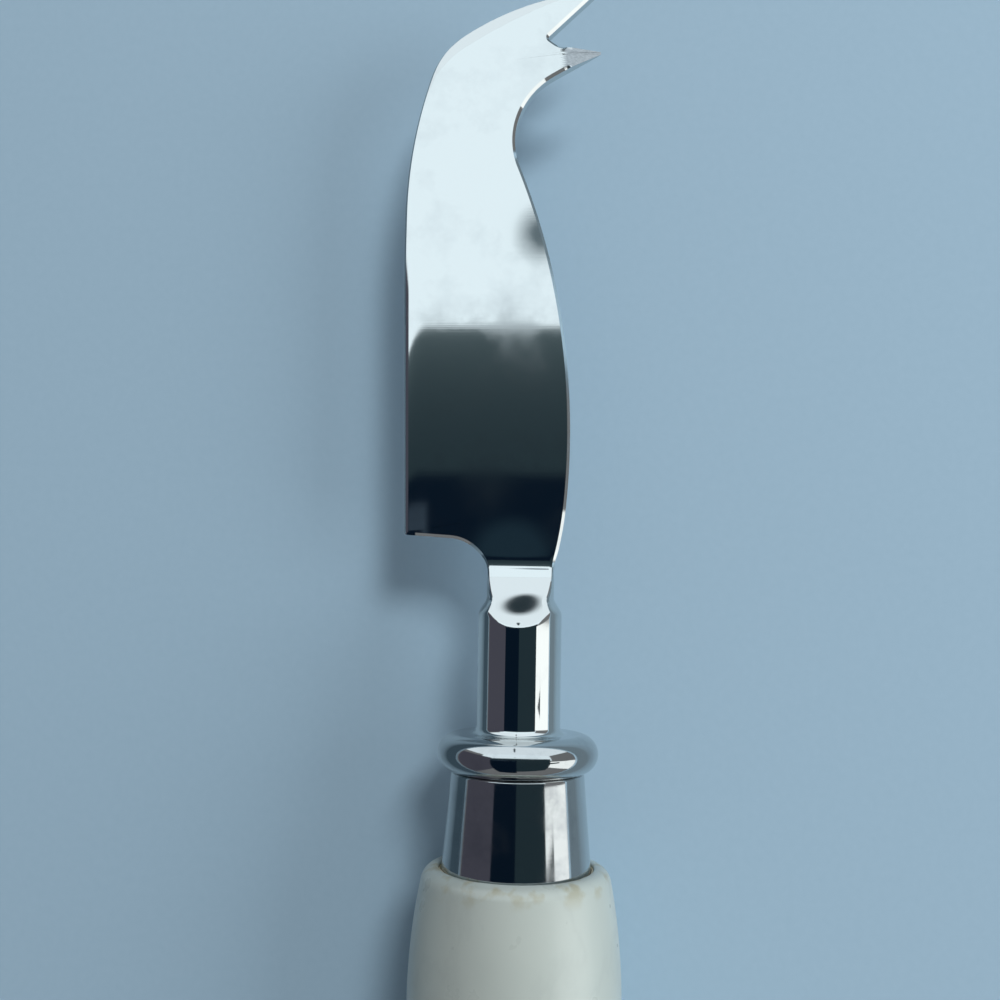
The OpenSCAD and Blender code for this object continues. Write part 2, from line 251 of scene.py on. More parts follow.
def arc(centre: tuple[float, float], radius: float, start: float, end: float, steps: int) -> np.ndarray:
    """Points round a centre, from one angle in degrees to another."""
    angle = np.radians(np.linspace(start, end, steps))
    return np.stack([centre[0] + radius * np.cos(angle), centre[1] + radius * np.sin(angle)], axis=-1)


def drawn(*pieces: object, step: float = 0.4) -> np.ndarray:
    """Joins points and arcs into one profile and puts points along its long straights.

    Args:
        pieces: Pairs, or arrays of pairs.
        step: Longest distance left between two points, in millimetres.

    Returns:
        The profile as one array.
    """
    corners = np.concatenate([np.atleast_2d(piece) for piece in pieces]).astype(float)
    gaps = np.linalg.norm(np.diff(corners, axis=0), axis=1)
    reach = np.concatenate([[0.0], np.cumsum(gaps)])
    parts = np.maximum(1, np.ceil(gaps / step).astype(int))
    first = np.repeat(np.arange(len(parts)), parts)
    rank = np.arange(parts.sum()) - np.repeat(np.cumsum(parts) - parts, parts)
    places = np.append(reach[first] + gaps[first] * rank / parts[first], reach[-1])
    return np.stack([np.interp(places, reach, corners[:, k]) for k in (0, 1)], axis=-1)


class Slot(Enum):
    """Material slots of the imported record."""

    BLADE = "blade_steel"
    RING = "ring_steel"
    FERRULE = "ferrule_steel"
    HANDLE = "handle_stone"
    CEMENT = "cement"


class Nodes:
    """A small hand for laying out nodes in a tree."""

    def __init__(self, tree: bpy.types.NodeTree) -> None:
        """Keeps the tree and its links."""
        self.tree = tree

    def add(self, kind: str, settings: dict | None = None, **inputs: object) -> bpy.types.Node:
        """Adds a node, sets its options and feeds its inputs.

        Args:
            kind: Blender's name of the node.
            settings: Options of the node.
            inputs: Values or sockets by the input's name, with underscores for spaces.

        Returns:
            The node.
        """
        node = self.tree.nodes.new(kind)
        for option, value in (settings or {}).items():
            setattr(node, option, value)
        for name, value in inputs.items():
            label = name.replace("_", " ")
            socket = node.inputs[int(label[1:])] if label[1:].isdigit() else node.inputs[label]
            if isinstance(value, Socket):
                self.tree.links.new(value, socket)
            else:
                socket.default_value = value
        return node

    def ramp(self, value: Socket, stops: list[tuple[float, Colour]]) -> Socket:
        """Colours a value between 0 and 1 by stops and gives back the colour."""
        node = self.add("ShaderNodeValToRGB", Fac=value)
        elements = node.color_ramp.elements
        elements[0].position, elements[0].color = stops[0][0], (*stops[0][1], 1.0)
        elements[1].position, elements[1].color = stops[-1][0], (*stops[-1][1], 1.0)
        for position, colour in stops[1:-1]:
            elements.new(position).color = (*colour, 1.0)
        return node.outputs["Color"]

    def span(self, value: Socket, source: Span, target: Span) -> Socket:
        """Maps a value from one span to another, held at the ends."""
        ends = {"From_Min": source[0], "From_Max": source[1], "To_Min": target[0], "To_Max": target[1]}
        return self.add("ShaderNodeMapRange", Value=value, **ends).outputs["Result"]

    def maths(self, operation: str, first: object, second: object = 0.0) -> Socket:
        """Joins two values by an operation."""
        return self.add("ShaderNodeMath", {"operation": operation}, _0=first, _1=second).outputs[0]

    def times(self, first: object, second: object) -> Socket:
        """Multiplies two values."""
        return self.maths("MULTIPLY", first, second)

    def plus(self, first: object, second: object) -> Socket:
        """Adds two values."""
        return self.maths("ADD", first, second)

    def noise(self, vector: Socket, scale: object, detail: float, roughness: float = 0.5) -> Socket:
        """Noise between 0 and 1 with a scale per metre."""
        node = self.add("ShaderNodeTexNoise", Vector=vector, Scale=scale, Detail=detail, Roughness=roughness)
        return node.outputs["Fac"]

    def stretched(self, vector: Socket, scale: Colour, turn: float = 0.0) -> Socket:
        """The coordinates stretched by three factors and turned about Z in degrees."""
        node = self.add("ShaderNodeMapping", Vector=vector)
        node.inputs["Scale"].default_value = scale
        node.inputs["Rotation"].default_value = (0.0, 0.0, np.radians(turn))
        return node.outputs["Vector"]

    def blend(self, share: object, first: object, second: object) -> Socket:
        """Mixes two colours by a share."""
        node = self.add("ShaderNodeMix", {"data_type": "RGBA"})
        for index, value in ((0, share), (6, first), (7, second)):
            if isinstance(value, Socket):
                self.tree.links.new(value, node.inputs[index])
            else:
                node.inputs[index].default_value = (*value, 1.0) if isinstance(value, tuple) else value
        return node.outputs[2]


def new_material(name: str) -> tuple[bpy.types.Material, Nodes]:
    """Starts a material without nodes, and a hand for laying them out."""
    material = bpy.data.materials.new(name)
    material.use_nodes = True
    material.node_tree.nodes.clear()
    return material, Nodes(material.node_tree)


def new_group(
    name: str, inputs: list[tuple[str, str]], outputs: list[tuple[str, str]]
) -> tuple[bpy.types.NodeTree, Nodes, bpy.types.Node]:
    """Starts a shader node group.

    Args:
        name: Name of the group.
        inputs: Names and socket kinds of the inputs.
        outputs: Names and socket kinds of the outputs.

    Returns:
        The group, a hand for its nodes, and its input node.
    """
    tree = bpy.data.node_groups.new(name, "ShaderNodeTree")
    for label, kind in inputs:
        tree.interface.new_socket(name=label, in_out="INPUT", socket_type=kind)
    for label, kind in outputs:
        tree.interface.new_socket(name=label, in_out="OUTPUT", socket_type=kind)
    nodes = Nodes(tree)
    return tree, nodes, nodes.add("NodeGroupInput")


@lru_cache(maxsize=None)
def handling_marks() -> bpy.types.NodeTree:
    """Group of the dull smudges and hairline scratches that use leaves on polished steel.

    Returns:
        A group that puts out a mask of the smudges and a height of the scratches.
    """
    tree, nodes, source = new_group(
        "handling_marks",
        [("Vector", "NodeSocketVector"), ("Smudge Scale", "NodeSocketFloat"), ("Scratch Turn", "NodeSocketVector")],
        [("Smudge", "NodeSocketFloat"), ("Scratch", "NodeSocketFloat")],
    )
    vector = source.outputs["Vector"]
    cloud = nodes.noise(vector, source.outputs["Smudge Scale"], 5.0, 0.62)
    smudge = nodes.span(cloud, (0.5, 0.78), (0.0, 1.0))
    turn = nodes.add(
        "ShaderNodeVectorRotate", {"rotation_type": "EULER_XYZ"}, Vector=vector, Rotation=source.outputs["Scratch Turn"]
    )
    lines = nodes.noise(nodes.stretched(turn.outputs["Vector"], (5200.0, 26.0, 26.0)), 1.0, 2.0, 0.7)
    scratch = nodes.span(lines, (0.62, 0.75), (0.0, 1.0))
    breaks = nodes.span(nodes.noise(vector, 160.0, 3.0), (0.45, 0.7), (0.0, 1.0))
    nodes.add("NodeGroupOutput", Smudge=smudge, Scratch=nodes.times(scratch, breaks))
    return tree


@lru_cache(maxsize=None)
def turning_lines() -> bpy.types.NodeTree:
    """Group of the faint rings that polishing on a lathe leaves round the knife's axis.

    Returns:
        A group that puts out a height, which changes along the knife only.
    """
    tree, nodes, source = new_group(
        "turning_lines", [("Vector", "NodeSocketVector"), ("Pitch", "NodeSocketFloat")], [("Rings", "NodeSocketFloat")]
    )
    across = nodes.stretched(source.outputs["Vector"], (18.0, 1000.0, 18.0))
    nodes.add("NodeGroupOutput", Rings=nodes.noise(across, source.outputs["Pitch"], 3.0, 0.75))
    return tree


class Finish:
    """What all finishes share: a material with one Principled shader."""

    name: str

    def start(self) -> tuple[bpy.types.Material, Nodes, bpy.types.Node, Socket]:
        """Starts the material.

        Returns:
            The material, a hand for its nodes, its shader, and the Object coordinates.
        """
        material, nodes = new_material(self.name)
        shader = nodes.add("ShaderNodeBsdfPrincipled")
        nodes.add("ShaderNodeOutputMaterial", Surface=shader.outputs["BSDF"])
        return material, nodes, shader, nodes.add("ShaderNodeTexCoord").outputs["Object"]

    def wire(self, nodes: Nodes, shader: bpy.types.Node, **sockets: Socket) -> None:
        """Feeds the shader's colour, roughness and bump height.

        Args:
            nodes: The hand for the material's nodes.
            shader: The material's shader.
            sockets: The sockets called colour, roughness and height.
        """
        bump = nodes.add("ShaderNodeBump", Height=sockets["height"], Distance=1.0)
        feeds = {"Base Color": sockets["colour"], "Roughness": sockets["roughness"], "Normal": bump.outputs["Normal"]}
        for name, socket in feeds.items():
            nodes.tree.links.new(socket, shader.inputs[name])

    def material(self) -> bpy.types.Material:
        """Makes the material."""
        raise NotImplementedError


@dataclass(frozen=True)
class PolishedSteel(Finish):
    """Polished stainless steel with handling marks and the lines of its polishing.

    Args:
        name: Name of the material.
        colour: Colour of the clean metal.
        dull: Colour where the polish is smudged.
        gloss: Roughness of the clean metal and of the smudges.
        smudge_scale: Number of smudges per metre.
        scratch_turn: Direction of the hairlines, as turns about the axes in degrees.
        line_pitch: Fineness of the polishing rings.
        line_depth: Depth of the rings in metres.
        wave_depth: Depth in metres of the slow waves that forging leaves under the polish.
        ground: Whether the piece has coarsely ground facets, marked by its attribute.
        grit_depth: Depth in metres of the grooves on those facets.
    """

    name: str
    colour: Colour
    dull: Colour
    gloss: tuple[float, float]
    smudge_scale: float
    scratch_turn: Colour
    line_pitch: float
    line_depth: float
    wave_depth: float
    ground: bool = False
    grit_depth: float = 3e-6

    def material(self) -> bpy.types.Material:
        """Makes the material.

        Returns:
            A metal whose colour and roughness follow the smudges, and whose bump adds
            waves, polishing rings and hairlines.
        """
        material, nodes, shader, place = self.start()
        marks = nodes.add(
            "ShaderNodeGroup", {"node_tree": handling_marks()}, Vector=place, Smudge_Scale=self.smudge_scale
        )
        marks.inputs["Scratch Turn"].default_value = tuple(np.radians(self.scratch_turn))
        rings = nodes.add("ShaderNodeGroup", {"node_tree": turning_lines()}, Vector=place, Pitch=self.line_pitch)
        smudge = marks.outputs["Smudge"]
        colour = nodes.blend(smudge, self.colour, self.dull)
        roughness = nodes.span(smudge, (0.0, 1.0), self.gloss)
        height = nodes.times(rings.outputs["Rings"], self.line_depth)
        scratched = nodes.times(marks.outputs["Scratch"], -self.line_depth * 0.6)
        waves = nodes.times(nodes.noise(place, 60.0, 1.0), self.wave_depth)
        height = nodes.plus(nodes.plus(height, scratched), waves)
        if self.ground:
            mask = nodes.add("ShaderNodeAttribute", {"attribute_name": "ground"}).outputs["Fac"]
            grit = nodes.noise(nodes.stretched(place, (2600.0, 9000.0, 2600.0), 12.0), 1.0, 3.0, 0.7)
            facet = nodes.ramp(grit, [(0.3, (0.27, 0.29, 0.31)), (0.7, (0.5, 0.52, 0.54))])
            colour = nodes.blend(nodes.times(mask, 0.9), colour, facet)
            roughness = nodes.plus(roughness, nodes.times(mask, 0.3))
            height = nodes.plus(height, nodes.times(nodes.times(grit, mask), self.grit_depth))
        shader.inputs["Metallic"].default_value = 1.0
        self.wire(nodes, shader, colour=colour, roughness=roughness, height=height)
        return material


@dataclass(frozen=True)
class WhiteStone(Finish):
    """White marble with soft grey clouds, and stains round the mouth of the handle.

    Args:
        name: Name of the material.
        white: Colour of the clear stone.
        cloud: Colour of the soft clouds.
        vein: Colour of the thin veins.
        stain: Colour of the stains that the cement left.
        mouth: Place of the handle's mouth along the knife, in metres.
        grain_depth: Depth of the fine grain in metres.
        wave_depth: Depth of the slow waves in metres.
        drift: Reach in metres by which the clouds and the veins wander.
        stain_reach: Length of handle that the stains cover, in metres.
    """

    name: str
    white: Colour
    cloud: Colour
    vein: Colour
    stain: Colour
    mouth: float
    grain_depth: float = 2.5e-6
    wave_depth: float = 4e-5
    drift: float = 0.012
    stain_reach: float = 0.0026

    def material(self) -> bpy.types.Material:
        """Makes the material.

        Returns:
            A satin stone with clouds, veins and stains in its colour.
        """
        material, nodes, shader, place = self.start()
        drift = nodes.add("ShaderNodeVectorMath", {"operation": "MULTIPLY_ADD"})
        warp = nodes.add("ShaderNodeTexNoise", Vector=place, Scale=55.0, Detail=3.0)
        material.node_tree.links.new(warp.outputs["Color"], drift.inputs[0])
        drift.inputs[1].default_value = (self.drift, self.drift, self.drift)
        material.node_tree.links.new(place, drift.inputs[2])
        clouds = nodes.noise(drift.outputs[0], 95.0, 4.0, 0.55)
        colour = nodes.blend(nodes.span(clouds, (0.38, 0.74), (0.0, 0.35)), self.white, self.cloud)
        seams = nodes.noise(nodes.stretched(drift.outputs[0], (1.0, 0.45, 1.0), 24.0), 70.0, 5.0, 0.6)
        ridge = nodes.maths("ABSOLUTE", nodes.maths("SUBTRACT", seams, 0.5))
        colour = nodes.blend(nodes.span(ridge, (0.0, 0.03), (0.13, 0.0)), colour, self.vein)
        along = nodes.add("ShaderNodeSeparateXYZ", Vector=place).outputs["Y"]
        full = self.mouth - 0.2 * MILLIMETRE
        near = nodes.span(along, (full - self.stain_reach, full), (0.0, 1.0))
        spots = nodes.span(nodes.noise(place, 420.0, 3.0), (0.52, 0.66), (0.0, 0.8))
        colour = nodes.blend(nodes.times(near, spots), colour, self.stain)
        roughness = nodes.span(nodes.noise(place, 240.0, 4.0), (0.3, 0.7), (0.26, 0.36))
        grain = nodes.times(nodes.noise(place, 1400.0, 3.0), self.grain_depth)
        waves = nodes.times(nodes.noise(place, 70.0, 1.0), self.wave_depth)
        for name, value in (("IOR", 1.5), ("Coat Weight", 0.2), ("Coat Roughness", 0.12)):
            shader.inputs[name].default_value = value
        self.wire(nodes, shader, colour=colour, roughness=roughness, height=nodes.plus(grain, waves))
        return material


@dataclass(frozen=True)
class OchreCement(Finish):
    """Set cement: matte, grainy and unevenly yellowed.

    Args:
        name: Name of the material.
        pale: Colour of its dry places.
        ochre: Colour of its yellowed places.
        pit_dark: Colour towards which the deep places of its pits are darkened.
        pit_depth: Depth of the pits in metres.
        lump_depth: Height of the lumps in metres.
    """

    name: str
    pale: Colour
    ochre: Colour
    pit_dark: Colour
    pit_depth: float = 5e-5
    lump_depth: float = 1.2e-4

    def material(self) -> bpy.types.Material:
        """Makes the material."""
        material, nodes, shader, place = self.start()
        patches = nodes.span(nodes.noise(place, 340.0, 4.0, 0.6), (0.38, 0.64), (0.0, 1.0))
        pits = nodes.noise(place, 2600.0, 4.0, 0.7)
        colour = nodes.blend(patches, self.pale, self.ochre)
        # Darkens the deep places of the pits towards a near black, by the pits' own depth.
        colour = nodes.blend(nodes.span(pits, (0.32, 0.46), (0.8, 0.0)), colour, self.pit_dark)
        lumps = nodes.times(nodes.noise(place, 700.0, 2.0), self.lump_depth)
        height = nodes.plus(nodes.times(pits, self.pit_depth), lumps)
        roughness = nodes.span(pits, (0.3, 0.7), (0.92, 0.7))
        self.wire(nodes, shader, colour=colour, roughness=roughness, height=height)
        return material


def dress(piece: bpy.types.Object, node: str, finish: Finish) -> bpy.types.Object:
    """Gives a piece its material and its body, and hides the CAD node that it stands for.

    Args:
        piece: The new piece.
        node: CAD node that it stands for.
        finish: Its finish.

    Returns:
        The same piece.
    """
    piece.data.materials.append(finish.material())
    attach(piece, "root")
    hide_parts(node)
    LOG.info("%s stands for %s with %d faces", piece.name, node, len(piece.data.polygons))
    return piece


@dataclass
class ForgedBlade:
    """The forged piece: tang, round shank, ramps, and the flat blade with its fork tip.

    All sizes are millimetres and degrees. Every station along the knife gives one closed
    section with the same number of points: an upper row from the cutting side to the
    spine, the spine's wall, a lower row back, and the cutting side's wall.
    """

    axes: KnifeAxes
    thickness: float = 2.0
    neck_width: float = 8.2
    neck_start: float = 33.0
    ramp_foot: float = 39.0
    prong_end: float = 0.35
    grind_width: float = 3.6
    grind_edge: float = 1.1
    grind_power: float = 2.53
    grind_run_out: float = 2.3
    hone_width: float = 0.22
    hone_edge: float = 0.24
    chamfer: float = 0.35
    facet_length: float = 4.9
    facet_tip: float = 0.45
    hone_grit: float = 0.55
    notch_root: float = 0.45
    prong_reach: float = 7.2
    shank_radius: float = 5.25
    neck_radius: float = 4.25
    shoulder_start: float = 30.8
    shank_start: float = 16.1
    foot_fillet: float = 0.9
    ramp_radius: float = 12.5
    ramp_dip: float = 0.03
    tang_radius: float = 3.0
    tang_end: float = -43.2
    groove_count: int = 4
    groove_first: float = -12.65
    groove_pitch: float = 8.5
    groove_width: float = 1.8
    groove_depth: float = 0.5
    row_steps: int = 66
    wall_steps: int = 10
    side_sector: float = 40.0
    lip_round: float = 0.5
    no_ramp: float = 99.0
    tang_tip: float = 1.2
    matched_runs: float = 3.0
    match_steps: int = 1200

    def __post_init__(self) -> None:
        """Chains both sides of the outline and closes the notch between the prongs."""
        half = self.neck_width / 2
        self.cut = Outline(
            (-half, self.neck_start),
            90.0,
            [
                Run(0, 0, 2.1),
                Run(5.2, 86.5),
                Run(0, 0, 5.55),
                Run(0.5, -85.05),
                Run(0, 0, 31.9),
                Run(300, -1.85),
                Run(63, -17.4),
                Run(10.5, -38),
                Run(35, -31),
            ],
        )
        spine = [
            Run(0, 0, 2.9),
            Run(3.9, -15.2),
            Run(46, 10.25),
            Run(95, 27),
            Run(9.8, -82),
            Run(0, 64.95, self.prong_reach),
            Run(0, 84, self.prong_end),
            Run(0, 0, 4.6),
            Run(2.5, -35),
            Run(0, 0, 0.8),
        ]
        part = Outline((half, self.neck_start), 90.0, spine)
        tip = self.cut.corner[-1]
        notch_end = tip - self.prong_end * ahead(85.0)
        root = self.notch_root
        heading = part.heading[-1]
        centre = part.corner[-1] - root * left_of(heading)
        reach = notch_end - centre
        last = np.degrees(np.arctan2(reach[1], reach[0]) - np.arcsin(root / np.linalg.norm(reach)))
        rest = Outline(tuple(part.corner[-1]), heading, [Run(root, last - heading)])
        side = float(np.linalg.norm(notch_end - rest.corner[-1]))
        closing = [Run(root, last - heading), Run(0, 85.0 - last, side), Run(0, 0, self.prong_end)]
        self.spine = Outline((half, self.neck_start), 90.0, spine + closing)
        self.root_side = float(centre[1] - root)

    def edge_distance(self, points: np.ndarray, outline: Outline, first: float, last: float) -> Pair:
        """Distance of points from a stretch of the outline, square to its nearest place.

        Args:
            points: Points across and along the knife.
            outline: The side of the outline.
            first: First place of the stretch.
            last: Last place of the stretch.

        Returns:
            The distances, and the headings of the nearest places.
        """
        places = np.linspace(first, last, int(160 * (last - first)), endpoint=False)
        near, heading = outline.at(places)
        normal = left_of(heading)
        flat = points.reshape(-1, 2)
        found = np.concatenate(
            [
                np.argmin(((block[:, None, :] - near[None]) ** 2).sum(axis=-1), axis=1)
                for block in np.array_split(flat, 24)
            ]
        )
        distance = np.abs(((flat - near[found]) * normal[found]).sum(axis=-1))
        return distance.reshape(points.shape[:-1]), heading[found].reshape(points.shape[:-1])

    def plate_height(self, points: np.ndarray) -> tuple[np.ndarray, np.ndarray, np.ndarray]:
        """Half thickness of the flat blade.

        It is the lowest of four: the flat, the rounded grind, which rises with a power of
        the distance from the edge, the straight hone, and the chamfer of the other rims.

        Args:
            points: Points across and along the knife.

        Returns:
            The upper and the lower half thickness, and a mask of the ground places.
        """
        half = self.thickness / 2
        to_edge, heading = self.edge_distance(points, self.cut, 3.9, 9.0)
        to_heel, _ = self.edge_distance(points, self.cut, 0.0, 3.0)
        to_spine, _ = self.edge_distance(points, self.spine, 0.0, 13.0)
        to_rim = np.minimum(to_heel, to_spine)
        last_turn = abs(self.cut.turn[-1])
        to_go = heading - self.cut.heading[-1]
        run_out = self.grind_run_out * np.clip((last_turn - to_go) / last_turn, 0.0, 1.0) ** 2
        depth = half - self.grind_edge / 2
        hollow = np.clip(1.0 - (to_edge + run_out) / self.grind_width, 0.0, 1.0)
        grind = half - depth * hollow**self.grind_power
        slope = (self.grind_edge - self.hone_edge) / 2 / self.hone_width
        hone = self.hone_edge / 2 + slope * to_edge
        lower = np.minimum(np.minimum(grind, hone), np.minimum(half, half - self.chamfer + to_rim))
        tip = self.spine.corner[6]
        fall = (self.thickness - self.facet_tip) / self.facet_length
        facet = half - fall * np.clip(points[..., 0] - (tip[0] - self.facet_length), 0.0, None)
        below = np.abs(points[..., 1] - self.root_side + self.prong_reach / 2) < self.prong_reach / 2
        upper = np.where(below, np.minimum(lower, facet), lower)
        ground = np.maximum(self.hone_grit * (hone <= grind), 1.0 * (below & (facet < lower)))
        return upper, lower, ground

    def ring_points(
        self, row: np.ndarray, upper: np.ndarray, lower: np.ndarray, walls: list[np.ndarray]
    ) -> np.ndarray:
        """Joins rows and walls into closed sections.

        Args:
            row: Points of the rows, across and along, stations by steps by two.
            upper: Heights of the upper row.
            lower: Heights of the lower row.
            walls: Points of the spine's wall and of the cutting side's wall.

        Returns:
            Sections, stations by points by three.
        """
        top = np.concatenate([row, upper[..., None]], axis=-1)
        bottom = np.concatenate([row, lower[..., None]], axis=-1)[:, ::-1]
        return np.concatenate([top, walls[0], bottom, walls[1]], axis=1)

    def flat_sections(self, cut_place: np.ndarray, spine_place: np.ndarray) -> Pair:
        """Sections of the flat blade on ribs from the cutting side to the spine.

        Each rib runs between points set in from both rims, and its steps grow away from
        the cutting side, where the grind needs them.

        Args:
            cut_place: Places on the cutting side.
            spine_place: Places on the spine.

        Returns:
            The sections and the mask of the ground places.
        """
        (cut, cut_heading), (spine, spine_heading) = self.cut.at(cut_place), self.spine.at(spine_place)
        room = np.linalg.norm(self.spine.corner[None, (6, 7, 12)] - spine[:, None], axis=-1).min(axis=1)
        tip_room = np.linalg.norm(self.cut.corner[-1] - cut, axis=-1)
        spine_inset = np.minimum(self.chamfer, 0.09 + 0.2 * room)
        cut_inset = np.minimum(np.where(cut_place < 3.4, self.chamfer, self.hone_width), 0.09 + 0.2 * tip_room)
        inner_cut = cut - cut_inset[:, None] * left_of(cut_heading)
        inner_spine = spine + spine_inset[:, None] * left_of(spine_heading)
        share = np.linspace(0.0, 1.0, self.row_steps - 1)
        share = (0.25 * share + 0.75 * share**2.2)[None, :, None]
        inside = inner_cut[:, None] * (1 - share) + inner_spine[:, None] * share
        row = np.concatenate([cut[:, None], inside, spine[:, None]], axis=1)
        upper, lower, ground = self.plate_height(row)
        levels = np.linspace(1.0, -1.0, self.wall_steps + 1)[1:-1][None, :]
        middle, reach = (upper - lower) / 2, (upper + lower) / 2
        walls = []
        for index, point, sign in ((-1, spine, 1.0), (0, cut, -1.0)):
            height = middle[:, index, None] + sign * levels * reach[:, index, None]
            walls.append(np.concatenate([np.repeat(point[:, None], levels.size, axis=1), height[..., None]], axis=-1))
        plain = np.zeros((len(row), levels.size))
        mask = np.concatenate([ground, plain, ground[:, ::-1], plain], axis=1)
        return self.ring_points(row, upper, -lower, walls), mask

    def round_sections(self, along: np.ndarray, radius: np.ndarray) -> np.ndarray:
        """Sections of the round blank, pressed flat by the ramps above and below.

        Their height is the lower of the circle and of the hollow ramp, rounded where they
        meet: ramp = foot + radius minus the root of radius squared minus distance squared.

        Args:
            along: Places along the knife.
            radius: Radii of the blank there.

        Returns:
            The sections, with the point count of the flat ones.
        """
        away = np.clip(self.ramp_foot - along, 0.0, self.ramp_radius)
        ramp = self.thickness / 2 - self.ramp_dip + self.ramp_radius - np.sqrt(self.ramp_radius**2 - away**2)
        ramp = np.where(along < self.shoulder_start - 5.0, self.no_ramp, ramp)
        safe = np.maximum(radius, 1e-6)
        side = np.minimum(np.radians(self.side_sector), np.arcsin(np.clip(ramp / safe, 0.0, 1.0)))[:, None]
        turn = np.pi - side - (np.pi - 2 * side) * np.linspace(0.0, 1.0, self.row_steps + 1)[None]
        across = safe[:, None] * np.cos(turn)
        height = soft_lower(safe[:, None] * np.sin(turn), ramp[:, None], self.lip_round)
        row = np.stack([across, along[:, None] + 0 * across], axis=-1)
        levels = np.linspace(1.0, -1.0, self.wall_steps + 1)[1:-1][None]
        walls = []
        for sign in (1.0, -1.0):
            turn = side * levels
            side_reach = sign * safe[:, None]
            wall = [side_reach * np.cos(turn), along[:, None] + 0 * turn, side_reach * np.sin(turn)]
            walls.append(np.stack(wall, axis=-1))
        return self.ring_points(row, height, -height, walls)

    def blank_profile(self) -> np.ndarray:
        """Radius along the blank, from the end of the tang over its grooves to the ramps.

        The shoulder eases from the shank to the neck along 3 t squared minus 2 t cubed.
        """
        tang, floor = self.tang_radius, self.tang_radius - self.groove_depth
        starts = self.groove_first - self.groove_pitch * np.arange(self.groove_count)[::-1] - self.groove_width
        grooves = np.stack(
            [
                np.tile([tang, floor, floor, tang], self.groove_count),
                (starts[:, None] + self.groove_width * np.array([0.0, 0.0, 1.0, 1.0])).ravel(),
            ],
            axis=-1,
        )
        foot = self.shank_radius + self.foot_fillet
        fillet = arc((foot, self.shank_start + self.foot_fillet), self.foot_fillet, 270, 180, 12)
        lower = drawn(
            (0.0, self.tang_end),
            (tang - self.tang_tip, self.tang_end),
            (tang, self.tang_end + self.tang_tip),
            grooves,
            (tang, self.shank_start),
            fillet,
            (self.shank_radius, self.shoulder_start - 3.0),
            step=3.0,
        )
        along = np.arange(self.shoulder_start - 2.9, self.ramp_foot + 0.001, 0.12)
        ease = smooth_step(along, self.shoulder_start, self.neck_start)
        upper = np.stack([self.shank_radius + (self.neck_radius - self.shank_radius) * ease, along], axis=-1)
        return np.concatenate([lower, upper])

    def neck_places(self, along: np.ndarray) -> Pair:
        """Places on the cutting side and on the spine that lie this far along the knife.

        Args:
            along: Places along the knife, near the neck.

        Returns:
            Places on the cutting side and on the spine.
        """
        samples = np.linspace(0.0, self.matched_runs, self.match_steps)
        cut, spine = (np.interp(along, side.at(samples)[0][:, 1], samples) for side in (self.cut, self.spine))
        return cut, spine

    def rib_places(self) -> Pair:
        """Places of the ribs beyond the ramps, matched at the outline's own features.

        Returns:
            Places on the cutting side and on the spine.
        """
        cut_foot, spine_foot = self.neck_places(self.ramp_foot)
        matched = [
            (cut_foot, spine_foot, 0),
            (2.0, 2.45, 10),
            (3.0, 2.9, 26),
            (4.0, 3.0, 14),
            (5.0, 3.72, 60),
            (6.0, 3.95, 24),
            (6.55, 4.35, 34),
            (6.93, 5.0, 30),
            (7.1, 6.0, 34),
            (7.13, 7.0, 5),
            (7.3, 8.0, 26),
            (7.45, 9.0, 12),
            (7.5, 10.0, 6),
            (7.7, 11.0, 16),
            (8.98, 12.0, 56),
            (9.0, 13.0, 5),
        ]
        cut, spine, steps = (np.array(column) for column in zip(*matched))
        ticks = np.concatenate([[0.0], np.cumsum(steps[1:])])
        all_ticks = np.arange(1, int(ticks[-1]) + 1)
        return np.interp(all_ticks, ticks, cut), np.interp(all_ticks, ticks, spine)

    def build(self) -> bpy.types.Object:
        """Builds the forged piece as one skin.

        Between the neck and the foot of the ramps the round and the flat sections are
        mixed by a smooth step, as the hammer draws the one out of the other.

        Returns:
            The piece.
        """
        profile = self.blank_profile()
        radius, along = profile[:, 0], profile[:, 1]
        blank = self.round_sections(along, radius)
        neck, neck_mask = self.flat_sections(*self.neck_places(np.maximum(along, self.neck_start)))
        share = smooth_step(along, self.neck_start + 1.6, self.ramp_foot)[:, None, None]
        neck = blank * (1 - share) + neck * share
        flat, flat_mask = self.flat_sections(*self.rib_places())
        grid = np.concatenate([neck, flat])
        ground = np.concatenate([neck_mask * share[..., 0], flat_mask])
        points = self.axes.place(grid[..., 0], grid[..., 1], grid[..., 2])
        return skin("blade_forged", points, False, 14.0, ground=ground)


@dataclass
class BeadRing:
    """The turned ring between the shank and the ferrule: a bead round a straight bore."""

    axes: KnifeAxes
    back: float = 11.4
    width: float = 4.7
    outer_radius: float = 10.0
    bore_radius: float = 3.05
    groove_round: float = 0.12

    def build(self) -> bpy.types.Object:
        """Builds the ring: two flat sides, a half circle outside and the bore inside."""
        bead = self.width / 2
        middle = self.back + bead
        outside = arc((self.outer_radius - bead, middle), bead, 270, 450, 49)
        corner = self.groove_round
        bore = [
            (self.bore_radius + corner, self.back + self.width),
            (self.bore_radius, self.back + self.width - corner),
            (self.bore_radius, self.back + corner),
            (self.bore_radius + corner, self.back),
        ]
        profile = drawn(outside, bore, step=0.7)
        return skin("bead_ring_turned", turned(self.axes, profile, 224), True, 40.0)


